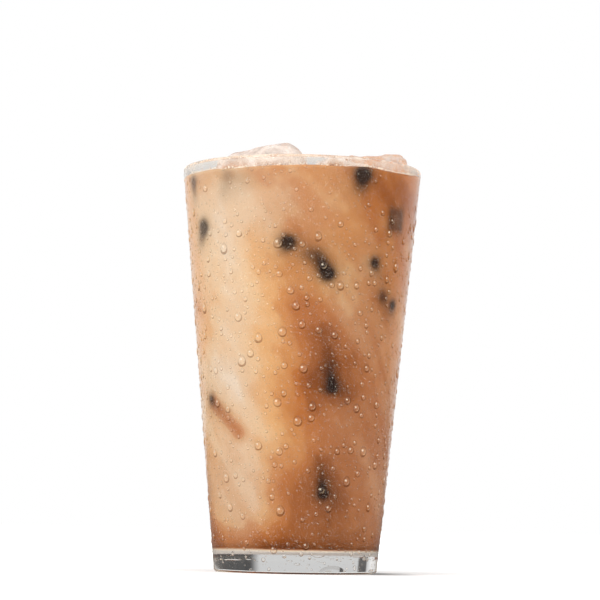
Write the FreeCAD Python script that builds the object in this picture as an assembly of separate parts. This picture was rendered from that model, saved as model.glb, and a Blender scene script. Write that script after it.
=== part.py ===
"""Iced chai latte in a tapered pint tumbler: the glass, the drink up to its level, and the ice that stands out of it.

Millimetres, +Z up. The origin is the centre of the foot, on the surface that the glass stands on. +X is to the
right and -Y to the front of someone who looks at the side of the drink where the tall piece of ice stands left.
"""

import math
import os
from dataclasses import dataclass

import FreeCAD, Part

# --- the tumbler -------------------------------------------------------------------------------------------------
GLASS_HEIGHT = 149.2
RIM_DIAMETER = 88.9
FOOT_DIAMETER = 59.8
RIM_WALL = 2.4  # thickness of the wall at the rim
FLOOR_WALL = 4.0  # thickness of the wall where it meets the floor of the bowl
BASE_THICKNESS = 8.3  # solid glass under the drink
FLOOR_CORNER = 4.0  # radius between the floor of the bowl and its wall
HEEL_RADIUS = 1.2  # radius at the lower outer edge
RIM_LAND = 0.04  # flat ring left on top between the two rounded edges of the rim
RECESS_DIAMETER = 46.0  # hollow under the foot, which leaves a flat ring to stand on
RECESS_DEPTH = 0.7

# --- the drink ---------------------------------------------------------------------------------------------------
FREEBOARD = 4.8  # from the level of the drink up to the rim
MENISCUS_RISE = 0.9  # how far the drink climbs the wall
MENISCUS_WIDTH = 1.6
WALL_FILM = 0.05  # clearance between the wall and the drink

# --- the ice -----------------------------------------------------------------------------------------------------
ICE_DRAFT = 0.6  # how much each side of a block leans in from its foot to its top
ICE_WALL_GAP = 0.3  # least clearance between a block and the wall
ICE_GAP = 0.4  # least clearance between two blocks

AXIS = FreeCAD.Vector(0, 0, 1)
ORIGIN = FreeCAD.Vector(0, 0, 0)


@dataclass
class IceBlock:
    """One block of ice that breaks the surface.

    azimuth is where it lies, in degrees from +X, and inset is the wall's distance at the level, less half of the
    block's depth, to its middle. emerges is how far its top would stand above the level if it lay flat. pitch and
    roll tip it about its own width and depth, and turn then swings it about Z, all in degrees.
    """

    name: str
    azimuth: float
    inset: float
    width: float
    depth: float
    height: float
    emerges: float
    turn: float
    roll: float
    pitch: float
    edge_radius: float


ICE_BLOCKS = [
    IceBlock("ice_tall", 213.0, 10.6, 34.0, 29.0, 28.0, 11.0, 0.0, -11.0, 1.5, 8.0),
    IceBlock("ice_side", -5.0, 1.4, 24.0, 24.0, 26.0, 9.7, -92.0, 2.0, 3.4, 3.6),
    IceBlock("ice_front", -64.0, 1.5, 22.0, 18.0, 24.0, 3.9, 29.0, 6.0, -4.0, 4.5),
    IceBlock("ice_back_left", 127.0, 1.8, 26.0, 22.0, 25.0, 6.2, 35.0, 5.0, 6.0, 4.8),
    IceBlock("ice_back_right", 55.0, 2.2, 19.0, 17.0, 22.0, 5.0, -38.0, -8.0, 5.0, 4.2),
    IceBlock("ice_middle", 55.0, 20.5, 13.0, 13.0, 18.0, 2.8, -31.0, 4.0, -5.0, 3.2),
]


def outer_radius(z):
    """Radius of the outer face of the wall at height z."""
    foot, rim = FOOT_DIAMETER / 2, RIM_DIAMETER / 2
    return foot + (rim - foot) * z / GLASS_HEIGHT


def bowl_radius(z):
    """Radius of the inner face of the wall at height z, from the floor of the bowl up."""
    at_floor = outer_radius(BASE_THICKNESS) - FLOOR_WALL
    at_rim = RIM_DIAMETER / 2 - RIM_WALL
    return at_floor + (at_rim - at_floor) * (z - BASE_THICKNESS) / (GLASS_HEIGHT - BASE_THICKNESS)


def point(r, z):
    """A point of a profile, in the half plane of +X."""
    return FreeCAD.Vector(r, 0, z)


def turned(edges):
    """The solid of revolution of a closed profile about Z."""
    profile = Part.Face(Part.Wire([edge.toShape() for edge in edges]))
    return Part.Solid(profile.revolve(ORIGIN, AXIS, 360))


def ring_edges(solid, radius, z):
    """The circular edges of a turned solid at one radius and height."""
    near = 1e-4
    return [
        edge
        for edge in solid.Edges
        if not edge.Degenerated
        and isinstance(edge.Curve, Part.Circle)
        and abs(edge.Curve.Radius - radius) < near
        and abs(edge.Curve.Center.z - z) < near
    ]


def make_glass():
    """The tumbler: thick base with a hollowed foot, straight tapered wall and a rounded rim."""
    foot, rim = FOOT_DIAMETER / 2, RIM_DIAMETER / 2
    floor = bowl_radius(BASE_THICKNESS)
    recess = RECESS_DIAMETER / 2
    dome = (recess**2 + RECESS_DEPTH**2) / (2 * RECESS_DEPTH)  # radius of the hollow's dish
    half_way = recess / 2
    sag = dome - math.sqrt(dome**2 - half_way**2)
    corners = [
        point(recess, 0),
        point(foot, 0),
        point(rim, GLASS_HEIGHT),
        point(rim - RIM_WALL, GLASS_HEIGHT),
        point(floor, BASE_THICKNESS),
        point(0, BASE_THICKNESS),
        point(0, RECESS_DEPTH),
    ]
    edges = [Part.LineSegment(a, b) for a, b in zip(corners, corners[1:])]
    edges.append(Part.Arc(corners[-1], point(half_way, RECESS_DEPTH - sag), corners[0]))
    glass = turned(edges)
    rim_round = (RIM_WALL - RIM_LAND) / 2
    lip = ring_edges(glass, rim, GLASS_HEIGHT) + ring_edges(glass, rim - RIM_WALL, GLASS_HEIGHT)
    glass = glass.makeFillet(rim_round, lip)
    glass = glass.makeFillet(HEEL_RADIUS, ring_edges(glass, foot, 0))
    return glass.makeFillet(FLOOR_CORNER, ring_edges(glass, floor, BASE_THICKNESS))


def level():
    """Height of the flat middle of the drink's surface."""
    return GLASS_HEIGHT - FREEBOARD


def make_full_drink():
    """The drink as if it held no ice: the bowl up to the level, with its edge drawn up the wall."""
    top = level()
    contact = top + MENISCUS_RISE
    floor = bowl_radius(BASE_THICKNESS) - WALL_FILM
    edge = bowl_radius(contact) - WALL_FILM
    flat = edge - MENISCUS_WIDTH
    curve = (MENISCUS_WIDTH**2 + MENISCUS_RISE**2) / (2 * MENISCUS_RISE)  # radius, tangent to the flat middle
    bend = math.atan2(MENISCUS_RISE, MENISCUS_WIDTH)  # half of the arc's angle
    middle = point(flat + curve * math.sin(bend), top + curve * (1 - math.cos(bend)))
    profile = [
        Part.LineSegment(point(0, BASE_THICKNESS), point(floor, BASE_THICKNESS)),
        Part.LineSegment(point(floor, BASE_THICKNESS), point(edge, contact)),
        Part.Arc(point(edge, contact), middle, point(flat, top)),
        Part.LineSegment(point(flat, top), point(0, top)),
        Part.LineSegment(point(0, top), point(0, BASE_THICKNESS)),
    ]
    drink = turned(profile)
    return drink.makeFillet(FLOOR_CORNER, ring_edges(drink, floor, BASE_THICKNESS))


def make_ice_room():
    """The space that ice may fill: the bowl less its clearance, carried on past the rim."""
    low, high = BASE_THICKNESS, GLASS_HEIGHT + max(block.height for block in ICE_BLOCKS)
    return Part.makeCone(bowl_radius(low) - ICE_WALL_GAP, bowl_radius(high) - ICE_WALL_GAP, high - low, point(0, low))


def place_block(block, spare):
    """One block of ice where it floats, grown by spare on every side.

    A tapered block is made about its own middle with all its edges rounded, tipped, turned, and moved so that it
    lies inset from the wall and emerges from the drink.
    """
    half_width, half_depth = block.width / 2 + spare, block.depth / 2 + spare
    half_height = block.height / 2 + spare
    solid = Part.makeWedge(
        -half_width,
        -half_height,
        -half_depth,
        -half_depth + ICE_DRAFT,
        -half_width + ICE_DRAFT,
        half_width,
        half_height,
        half_depth,
        half_depth - ICE_DRAFT,
        half_width - ICE_DRAFT,
    )
    solid = solid.makeFillet(block.edge_radius + spare, solid.Edges)
    solid.rotate(ORIGIN, FreeCAD.Vector(1, 0, 0), 90)
    solid.rotate(ORIGIN, FreeCAD.Vector(1, 0, 0), block.pitch)
    solid.rotate(ORIGIN, FreeCAD.Vector(0, 1, 0), block.roll)
    solid.rotate(ORIGIN, AXIS, block.turn)
    out = bowl_radius(level()) - block.inset - block.depth / 2
    azimuth = math.radians(block.azimuth)
    middle = level() + block.emerges - block.height / 2
    solid.translate(FreeCAD.Vector(out * math.cos(azimuth), out * math.sin(azimuth), middle))
    return solid


def make_ice():
    """Every block by name. A block keeps clear of the wall and of the blocks before it, as ice melts where it bears."""
    room = make_ice_room()
    made = {}
    for number, block in enumerate(ICE_BLOCKS):
        solid = place_block(block, 0).common(room)
        for other in ICE_BLOCKS[:number]:
            solid = solid.cut(place_block(other, ICE_GAP))
        made[block.name] = max(solid.Solids, key=lambda piece: piece.Volume)
    return made


def main():
    """Builds every piece and writes each to its own file."""
    os.makedirs("parts", exist_ok=True)
    pieces = make_ice()
    drink = make_full_drink()
    for solid in list(pieces.values()):
        drink = drink.cut(solid)
    pieces["drink"] = max(drink.Solids, key=lambda piece: piece.Volume)
    pieces["glass"] = make_glass()
    for name, solid in pieces.items():
        solid.exportStep(f"parts/{name}.step")
        box = solid.BoundBox
        print(
            f"{name}: {solid.Volume / 1000:.2f} cm3, valid {solid.isValid()}, "
            f"x {box.XMin:.2f} {box.XMax:.2f}, y {box.YMin:.2f} {box.YMax:.2f}, z {box.ZMin:.2f} {box.ZMax:.2f}"
        )


main()
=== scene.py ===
"""Iced chai latte in a tapered pint tumbler, dressed around its CAD frame.

The glass, the drink and each block of ice that breaks the surface replace their CAD nodes. Ice sunk in the
drink, froth on it and condensation on the glass are made here. Metres, +Z up, front towards -Y.
"""

import logging
import math
from dataclasses import dataclass
from typing import Sequence

import bpy
import numpy as np
from mathutils import Euler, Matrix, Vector
from numpy.typing import NDArray


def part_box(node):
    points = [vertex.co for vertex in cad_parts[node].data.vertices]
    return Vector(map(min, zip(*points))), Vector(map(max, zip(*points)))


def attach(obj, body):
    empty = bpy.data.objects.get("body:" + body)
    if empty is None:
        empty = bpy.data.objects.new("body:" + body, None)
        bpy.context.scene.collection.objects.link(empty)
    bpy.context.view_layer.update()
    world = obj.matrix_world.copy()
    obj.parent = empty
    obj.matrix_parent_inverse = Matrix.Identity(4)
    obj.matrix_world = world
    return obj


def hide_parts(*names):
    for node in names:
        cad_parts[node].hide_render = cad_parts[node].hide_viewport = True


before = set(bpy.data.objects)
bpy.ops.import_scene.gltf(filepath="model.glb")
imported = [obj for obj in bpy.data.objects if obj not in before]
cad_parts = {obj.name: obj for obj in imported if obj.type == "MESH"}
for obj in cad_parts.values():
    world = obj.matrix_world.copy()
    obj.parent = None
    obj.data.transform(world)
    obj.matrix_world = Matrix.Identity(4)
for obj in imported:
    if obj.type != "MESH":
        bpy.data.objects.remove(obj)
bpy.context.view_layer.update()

Array = NDArray[np.float64]
Faces = NDArray[np.int64]
Colour = tuple[float, float, float, float]

MM = 0.001
LAMP_WAY = (-0.62, -0.52, 0.59)  # from the drink towards the key lamp
MENISCUS_RISE = 0.9 * MM  # how far the drink climbs the wall
SUNK_DEPTH = 2.0 * MM  # least depth of the sunk cubes below the level
FIRST_ICE_SEED = 20  # seed of the first floating block's lumps
log = logging.getLogger("iced_chai_latte")


# ------------------------------------------------------------------------------------------------ small maths


def screen(red: int, green: int, blue: int) -> Colour:
    """The linear colour that shows as a given one on a screen.

    A channel c from 0 to 1 becomes ((c + 0.055) / 1.055) to the power 2.4.

    Args:
        red: Red from 0 to 255.
        green: Green from 0 to 255.
        blue: Blue from 0 to 255.

    Returns:
        Linear red, green, blue, and an alpha of 1.
    """
    linear = [((channel / 255 + 0.055) / 1.055) ** 2.4 for channel in (red, green, blue)]
    return (linear[0], linear[1], linear[2], 1.0)


def wrapped(angle: Array) -> Array:
    """Angles in degrees brought to between -180 and 180."""
    return (angle + 180.0) % 360.0 - 180.0


def bell(distance: Array, width: float) -> Array:
    """One at no distance, less further off: the exponential of minus the square of distance over width."""
    return np.exp(-((distance / width) ** 2))


def smooth_step(value: Array, low: float, high: float) -> Array:
    """Zero below low, one above high, and 3 t squared less 2 t cubed between them."""
    t = np.clip((value - low) / (high - low), 0.0, 1.0)
    return t * t * (3.0 - 2.0 * t)


class Waves:
    """Smooth noise in space: a sum of sine waves in random directions.

    Each octave halves the wavelength and takes 0.55 of the strength. The sum is scaled to a spread of about
    one.
    """

    def __init__(self, seed: int, size: float, octaves: int = 3, waves: int = 14) -> None:
        """Draws the waves.

        Args:
            seed: Seed of the random numbers.
            size: Longest wavelength, in metres.
            octaves: How many times the wavelength is halved, counting the first.
            waves: Number of waves in each octave.
        """
        rng = np.random.default_rng(seed)
        directions = rng.normal(size=(octaves, waves, 3))
        directions /= np.linalg.norm(directions, axis=2, keepdims=True)
        octave = np.arange(octaves)[:, None]
        lengths = size / 2.0**octave * rng.uniform(0.7, 1.3, (octaves, waves))
        strengths = 0.55**octave * rng.uniform(0.6, 1.4, (octaves, waves))
        self.wave = (directions * (2 * math.pi / lengths)[..., None]).reshape(-1, 3)
        self.phase = rng.uniform(0, 2 * math.pi, octaves * waves)
        self.strength = (strengths / math.sqrt((strengths**2).sum() / 2)).reshape(-1)

    def __call__(self, points: Array) -> Array:
        """The noise at points of shape (..., 3)."""
        return np.sin(points @ self.wave.T + self.phase) @ self.strength


# ----------------------------------------------------------------------------------------------------- meshes


@dataclass
class Surface:
    """Vertices with faces of four and of three corners, and named values at the vertices."""

    vertices: Array
    quads: Faces
    triangles: Faces
    values: dict[str, Array]

    @staticmethod
    def joined(surfaces: Sequence["Surface"]) -> "Surface":
        """One surface of several, whose named values are the first one's.

        Args:
            surfaces: The surfaces, each with the same named values.

        Returns:
            The joined surface.
        """
        starts = np.cumsum([0] + [len(surface.vertices) for surface in surfaces[:-1]])
        names = surfaces[0].values
        return Surface(
            np.concatenate([surface.vertices for surface in surfaces]),
            np.concatenate([surface.quads + start for surface, start in zip(surfaces, starts)]),
            np.concatenate([surface.triangles + start for surface, start in zip(surfaces, starts)]),
            {name: np.concatenate([surface.values[name] for surface in surfaces]) for name in names},
        )

    def volume(self) -> float:
        """Signed volume: the sum over triangles of a . (b x c) / 6."""
        halves = [self.quads[:, [0, 1, 2]], self.quads[:, [0, 2, 3]], self.triangles]
        a, b, c = (self.vertices[np.concatenate(halves)[:, corner]] for corner in range(3))
        return float((a * np.cross(b, c)).sum() / 6)

    def piece(self, name: str, material: bpy.types.Material) -> bpy.types.Object:
        """Makes a smooth Blender object of the surface, with its faces turned outwards.

        Args:
            name: The object's name.
            material: Its finish.

        Returns:
            The object, at the origin.
        """
        quads, triangles = self.quads, self.triangles
        if self.volume() < 0:
            quads, triangles = quads[:, ::-1], triangles[:, ::-1]
        corners = np.concatenate([quads.ravel(), triangles.ravel()])
        sizes = np.concatenate([np.full(len(quads), 4), np.full(len(triangles), 3)])
        mesh = bpy.data.meshes.new(name)
        mesh.vertices.add(len(self.vertices))
        mesh.vertices.foreach_set("co", self.vertices.astype(np.float32).ravel())
        mesh.loops.add(len(corners))
        mesh.loops.foreach_set("vertex_index", corners.astype(np.int32))
        mesh.polygons.add(len(sizes))
        mesh.polygons.foreach_set("loop_start", (np.cumsum(sizes) - sizes).astype(np.int32))
        mesh.polygons.foreach_set("loop_total", sizes.astype(np.int32))
        mesh.update(calc_edges=True)
        mesh.shade_smooth()
        for key, value in self.values.items():
            mesh.attributes.new(key, "FLOAT", "POINT").data.foreach_set("value", value.astype(np.float32))
        mesh.materials.append(material)
        thing = bpy.data.objects.new(name, mesh)
        bpy.context.scene.collection.objects.link(thing)
        return thing


def grid_quads(rows: int, columns: int, closed: bool) -> Faces:
    """Faces of a grid whose vertices run along each row in turn.

    Args:
        rows: Number of rows of vertices.
        columns: Number of vertices in a row.
        closed: Whether the last column joins the first.

    Returns:
        The corners of each face.
    """
    row = np.arange(rows - 1)[:, None] * columns
    column = np.arange(columns if closed else columns - 1)[None, :]
    after = (column + 1) % columns
    corners = [row + column, row + after, row + columns + after, row + columns + column]
    return np.stack([corner.ravel() for corner in corners], axis=1)


def capped_rings(rows: int, columns: int) -> tuple[Faces, Faces]:
    """Faces of rings between two poles.

    The vertices are the first pole, each ring in turn and the last pole.

    Args:
        rows: Number of rings.
        columns: Number of vertices in a ring.

    Returns:
        Faces of four corners and faces of three.
    """
    quads = grid_quads(rows, columns, True) + 1
    ring = np.arange(columns)
    after = (ring + 1) % columns
    last_ring = 1 + (rows - 1) * columns
    start = np.stack([np.zeros(columns, dtype=np.int64), 1 + after, 1 + ring], axis=1)
    end = np.stack([np.full(columns, 1 + rows * columns), last_ring + ring, last_ring + after], axis=1)
    return quads, np.concatenate([start, end])


def repeated(number: int, each: int, quads: Faces, triangles: Faces) -> list[Faces]:
    """Faces of many like shapes whose vertices follow one another.

    Args:
        number: How many shapes.
        each: Number of vertices of one.
        quads: Its faces of four corners.
        triangles: Its faces of three.

    Returns:
        All the faces of four, and all the faces of three.
    """
    start = np.arange(number)[:, None, None] * each
    return [(faces + start).reshape(-1, faces.shape[1]) for faces in (quads, triangles)]


def turned(radii: Array, heights: Array, values: dict[str, Array]) -> Surface:
    """A closed surface round Z, from a pole through rings to another pole.

    The point of row i and column j lies at radius r(i, j), height z(i, j) and an angle of j whole turns over
    the number of columns, where 0 is the front, -Y, and a quarter turn is +X.

    Args:
        radii: Radius of each point by row and column. The first and last rows are the poles.
        heights: Height of each point, alike.
        values: Named values of each point, alike.

    Returns:
        The surface.
    """
    rows, columns = radii.shape
    grid = around_z(radii, round_angles(columns), heights)
    quads, triangles = capped_rings(rows - 2, columns)

    def flat(array: Array) -> Array:
        """The two poles once each, with the rings between them."""
        return np.concatenate([array[:1, 0], array[1:-1].reshape(-1, *array.shape[2:]), array[-1:, 0]])

    return Surface(flat(grid), quads, triangles, {name: flat(value) for name, value in values.items()})


def round_angles(columns: int) -> Array:
    """Angles from the front towards +X, evenly round a turn."""
    return np.arange(columns) * (2 * math.pi / columns)


def around_z(radii: Array, angle: Array, heights: Array) -> Array:
    """Points by radius, angle from the front, -Y, towards +X, and height."""
    return np.stack([radii * np.sin(angle), -radii * np.cos(angle), heights], axis=-1)


@dataclass(frozen=True)
class Corner:
    """A corner of a turned profile: its radius from the axis, its height and how far it is rounded."""

    radius: float
    height: float
    rounding: float = 0.0


def rounded_profile(corners: Sequence[Corner], step: float, arc_steps: int = 8) -> Array:
    """A profile with its corners rounded and its straight stretches divided.

    A rounding of radius q at a corner whose two sides meet at an angle t starts q / tan(t / 2) from the
    corner, and its centre lies q / sin(t / 2) along the line that halves the angle.

    Args:
        corners: The corners, in order.
        step: Longest part of a straight stretch.
        arc_steps: Number of parts of each rounding.

    Returns:
        Radius and height of each point.
    """
    places = [np.array([corner.radius, corner.height]) for corner in corners]
    path = [places[0][None]]
    for before, corner, place, after in zip(places, corners[1:-1], places[1:], places[2:]):
        if corner.rounding == 0.0:
            path.append(place[None])
            continue
        back = (before - place) / np.linalg.norm(before - place)
        ahead = (after - place) / np.linalg.norm(after - place)
        half = math.acos(float(np.clip(back @ ahead, -1, 1))) / 2
        halving = (back + ahead) / np.linalg.norm(back + ahead)
        centre = place + halving * corner.rounding / math.sin(half)
        start = place + back * corner.rounding / math.tan(half) - centre
        end = place + ahead * corner.rounding / math.tan(half) - centre
        turn = math.acos(float(np.clip(start @ end / corner.rounding**2, -1, 1)))
        angle = np.linspace(0, turn, arc_steps + 1)[:, None]
        path.append(centre + (np.sin(turn - angle) * start + np.sin(angle) * end) / math.sin(turn))
    path.append(places[-1][None])
    points = np.concatenate(path)
    parts = []
    for start, end in zip(points[:-1], points[1:]):
        number = max(1, math.ceil(float(np.linalg.norm(end - start)) / step))
        parts.append(start + (end - start) * (np.arange(number) / number)[:, None])
    return np.concatenate(parts + [points[-1:]])


# ---------------------------------------------------------------------------------------------------- shaders


class Term:
    """The value of a shader socket. An expression on terms adds its Math nodes."""

    def __init__(self, shader: "Shader", socket: bpy.types.NodeSocket) -> None:
        """Wraps a socket of a shader."""
        self.shader = shader
        self.socket = socket

    def math(self, operation: str, *values: "Term | float") -> "Term":
        """A Math node on values, in order."""
        return self.shader.term("ShaderNodeMath", {"operation": operation}, dict(enumerate(values)))

    def __add__(self, other: "Term | float") -> "Term":
        """This value plus another."""
        return self.math("ADD", self, other)

    def __radd__(self, other: float) -> "Term":
        """A number plus this value."""
        return self.math("ADD", other, self)

    def __sub__(self, other: "Term | float") -> "Term":
        """This value less another."""
        return self.math("SUBTRACT", self, other)

    def __rsub__(self, other: float) -> "Term":
        """A number less this value."""
        return self.math("SUBTRACT", other, self)

    def __mul__(self, other: "Term | float") -> "Term":
        """This value times another."""
        return self.math("MULTIPLY", self, other)

    def __rmul__(self, other: float) -> "Term":
        """A number times this value."""
        return self.math("MULTIPLY", other, self)

    def __pow__(self, other: "Term | float") -> "Term":
        """This value to the power of another."""
        return self.math("POWER", self, other)

    def larger(self, other: "Term | float") -> "Term":
        """The larger of this value and another."""
        return self.math("MAXIMUM", self, other)

    def between(self, low: float, high: float) -> "Term":
        """Zero where this value is low or less, one where it is high or more, and smooth between."""
        settings = {"interpolation_type": "SMOOTHSTEP", "clamp": True}
        inputs = {"Value": self, "From Min": low, "From Max": high}
        return self.shader.term("ShaderNodeMapRange", settings, inputs)


class Shader:
    """The nodes of one material, or of the world."""

    def __init__(self, owner: bpy.types.Material | bpy.types.World) -> None:
        """Starts the owner's nodes afresh."""
        owner.use_nodes = True
        self.tree = owner.node_tree
        self.tree.nodes.clear()

    @staticmethod
    def material(name: str) -> tuple[bpy.types.Material, "Shader"]:
        """A new material and its shader."""
        made = bpy.data.materials.new(name)
        return made, Shader(made)

    def node(self, kind: str, settings: dict | None = None, inputs: dict | None = None) -> bpy.types.Node:
        """Adds a node.

        Args:
            kind: The node's type.
            settings: Its properties, set first. "stops" gives a ramp's positions and colours.
            inputs: A value, a Term or a socket for each input, by name or number.

        Returns:
            The node.
        """
        made = self.tree.nodes.new(kind)
        for key, value in (settings or {}).items():
            if key == "stops":
                ramp = made.color_ramp
                ramp.interpolation = "EASE"
                for _ in range(len(value) - 2):
                    ramp.elements.new(0.5)
                for element, (position, colour) in zip(ramp.elements, value):
                    element.position, element.color = position, colour
            else:
                setattr(made, key, value)
        for key, value in (inputs or {}).items():
            socket = made.inputs[key]
            source = value.socket if isinstance(value, Term) else value
            if isinstance(source, bpy.types.NodeSocket):
                self.tree.links.new(source, socket)
            else:
                socket.default_value = source
        return made

    def term(
        self, kind: str, settings: dict | None = None, inputs: dict | None = None, output: str | int = 0
    ) -> Term:
        """Adds a node and gives one of its outputs."""
        return Term(self, self.node(kind, settings, inputs).outputs[output])

    def value(self, name: str) -> Term:
        """A value that the mesh holds at its vertices."""
        return self.term("ShaderNodeAttribute", {"attribute_name": name}, output="Fac")

    def place(self) -> Term:
        """The place on the object."""
        return self.term("ShaderNodeTexCoord", output="Object")

    def axes(self, vector: Term) -> tuple[Term, ...]:
        """The parts of a vector along X, Y and Z."""
        parts = self.node("ShaderNodeSeparateXYZ", None, {0: vector})
        return tuple(Term(self, socket) for socket in parts.outputs)

    def facing(self, blend: float) -> Term:
        """From 0 where the surface faces the eye towards 1 where it is seen along itself."""
        return self.term("ShaderNodeLayerWeight", None, {"Blend": blend}, output="Facing")

    def noise(self, scale: float, detail: float, roughness: float, distortion: float = 0.0) -> Term:
        """Noise from 0 to 1 in object space, with scale in turns for each metre."""
        inputs = {"Scale": scale, "Detail": detail, "Roughness": roughness, "Distortion": distortion}
        return self.term("ShaderNodeTexNoise", None, {"Vector": self.place()} | inputs)

    def ramp(self, value: Term, stops: Sequence[tuple[float, Colour]]) -> Term:
        """A colour by value."""
        return self.term("ShaderNodeValToRGB", {"stops": stops}, {"Fac": value})

    def mixed(self, share: Term | float, first: Term | Colour, second: Term | Colour) -> Term:
        """Two colours mixed, with share of the second."""
        return self.term("ShaderNodeMix", {"data_type": "RGBA"}, {0: share, 6: first, 7: second}, output=2)

    def blended(self, share: Term | float, first: Term, second: Term) -> Term:
        """Two shaders mixed, with share of the second."""
        return self.term("ShaderNodeMixShader", None, {0: share, 1: first, 2: second})

    def transparent(self, passed: Colour) -> Term:
        """A shader that lets light straight through, less what is not passed."""
        return self.term("ShaderNodeBsdfTransparent", None, {"Color": passed})

    def bump(self, height: Term, distance: float, strength: float = 1.0) -> Term:
        """A normal bent by a height, whose one is a distance in metres."""
        inputs = {"Strength": strength, "Distance": distance, "Height": height}
        return self.term("ShaderNodeBump", None, inputs)

    def principled(self, inputs: dict) -> Term:
        """A Principled shader."""
        return self.term("ShaderNodeBsdfPrincipled", None, inputs)

    def clear_to_lamps(self, surface: Term, passed: Colour) -> Term:
        """Glass that lamps shine through: a Transparent shader for shadow rays.

        Args:
            surface: The shader that all other rays meet.
            passed: The light that shadow rays keep.

        Returns:
            The mix.
        """
        shadow = self.term("ShaderNodeLightPath", output="Is Shadow Ray")
        return self.blended(shadow, surface, self.transparent(passed))

    def finish(self, surface: Term) -> None:
        """Links the surface to the output."""
        self.node("ShaderNodeOutputMaterial", None, {"Surface": surface})


@dataclass(frozen=True)
class FoggedGlass:
    """Clear soda glass, fogged with fine beads by the mesh's fog value and wetted by its lip value.

    The beads are of two sizes, given in beads for each metre. The large ones lie in patches. veil is the
    share of mist between beads and speck the share on one. lip_veil and lip_wisps are the least share on the
    wetted rim and what its wisps add.
    """

    ior: float = 1.5
    clear: Colour = (0.985, 0.992, 0.988, 1.0)
    passed: Colour = (0.97, 0.98, 0.97, 1.0)
    mist: Colour = screen(252, 238, 222)
    roughness: float = 0.04
    large_beads: float = 1150.0
    small_beads: float = 1900.0
    small_share: float = 0.6
    bead_height: float = 0.045 * MM
    veil: float = 0.003
    speck: float = 0.15
    lip_veil: float = 0.1
    lip_wisps: float = 0.36

    def beads(self, shader: Shader, scale: float) -> Term:
        """Round beads, one at the middle of each and zero between them."""
        cells = shader.term("ShaderNodeTexVoronoi", None, {"Vector": shader.place(), "Scale": scale})
        return 1.0 - cells.between(0.1, 0.42)

    def make(self) -> bpy.types.Material:
        """Builds the material."""
        made, shader = Shader.material("fogged_glass")
        fog = shader.value("fog")
        patches = shader.noise(420, 3, 0.6).between(0.42, 0.66)
        large, small = self.beads(shader, self.large_beads), self.beads(shader, self.small_beads)
        specks = large * patches + small * self.small_share
        clear = shader.principled(
            {
                "Base Color": self.clear,
                "Roughness": fog * self.roughness,
                "IOR": self.ior,
                "Transmission Weight": 1.0,
                "Normal": shader.bump(specks * fog, self.bead_height),
            }
        )
        mist = shader.term("ShaderNodeBsdfDiffuse", None, {"Color": self.mist})
        wisps = shader.noise(95, 4, 0.6, 1.5).between(0.35, 0.62)
        share = fog * (self.veil + specks * self.speck)
        share = share + shader.value("lip") * (self.lip_veil + self.lip_wisps * wisps)
        shader.finish(shader.clear_to_lamps(shader.blended(share, clear, mist), self.passed))
        return made


@dataclass(frozen=True)
class MilkyChai:
    """Milky spiced tea: cream where milk lies at the wall, brown where tea does, painted shade where ice
    touches.

    The mesh's milk value picks a colour from two ramps, and its gold value mixes rose with amber. Its film
    value is how much milk covers the ice, top marks the open surface, foot the lower edge, which glows with
    painted light for the light that the glass base gathers, and under the underside, painted pale where it
    is seen along itself, as a painted reflection: there the base mirrors it away.
    """

    places: tuple[float, ...] = (0.0, 0.14, 0.28, 0.42, 0.56, 0.7, 0.85, 1.0)
    amber: tuple[Colour, ...] = (
        screen(112, 54, 14),
        screen(146, 76, 20),
        screen(172, 98, 40),
        screen(196, 120, 58),
        screen(214, 149, 88),
        screen(231, 181, 125),
        screen(237, 202, 157),
        screen(240, 216, 181),
    )
    rose: tuple[Colour, ...] = (
        screen(116, 60, 26),
        screen(146, 86, 44),
        screen(168, 104, 62),
        screen(190, 126, 82),
        screen(205, 149, 107),
        screen(219, 178, 140),
        screen(229, 200, 169),
        screen(235, 218, 199),
    )
    # painted shade: the dark seen through bare ice pressed to the wall
    shade_through_ice: Colour = screen(34, 18, 12)
    # painted light: the glow along the lower edge and the pale painted reflection of the underside
    painted_base_light: Colour = screen(214, 206, 198)
    painted_base_glow: float = 0.45
    roughness: float = 0.3
    grain_share: float = 0.05
    cloud_share: float = 0.06
    ice_grain: float = 0.15

    def make(self) -> bpy.types.Material:
        """Builds the material."""
        made, shader = Shader.material("milky_chai")
        grain = shader.noise(260, 5, 0.65) - 0.5
        cloud = shader.noise(70, 3, 0.5, 0.6) - 0.5
        milk = shader.value("milk") + grain * self.grain_share + cloud * self.cloud_share
        rose, amber = (shader.ramp(milk, list(zip(self.places, line))) for line in (self.rose, self.amber))
        tea = shader.mixed(shader.value("gold"), rose, amber)
        # where film is low, bare ice shows the painted shade seen through it
        film = shader.value("film") + grain * self.ice_grain * (1.0 - shader.value("film"))
        # painted reflection: the underside turns pale where it is seen along itself
        under = shader.value("under") * shader.facing(0.5).between(0.7, 0.92)
        # painted light: the lower edge and the mirrored underside glow though no lamp is there
        glow = shader.value("foot").larger(under)
        surface = shader.principled(
            {
                "Base Color": shader.mixed(under, shader.mixed(film, self.shade_through_ice, tea), self.painted_base_light),
                "Roughness": self.roughness,
                "Specular IOR Level": 0.0,
                "Coat Weight": shader.value("top"),
                "Coat Roughness": 0.08,
                "Emission Color": shader.mixed(glow, (0, 0, 0, 1), self.painted_base_light),
                "Emission Strength": self.painted_base_glow,
                "Normal": shader.bump(grain, 0.05 * MM, 0.4),
            }
        )
        shader.finish(surface)
        return made


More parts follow.
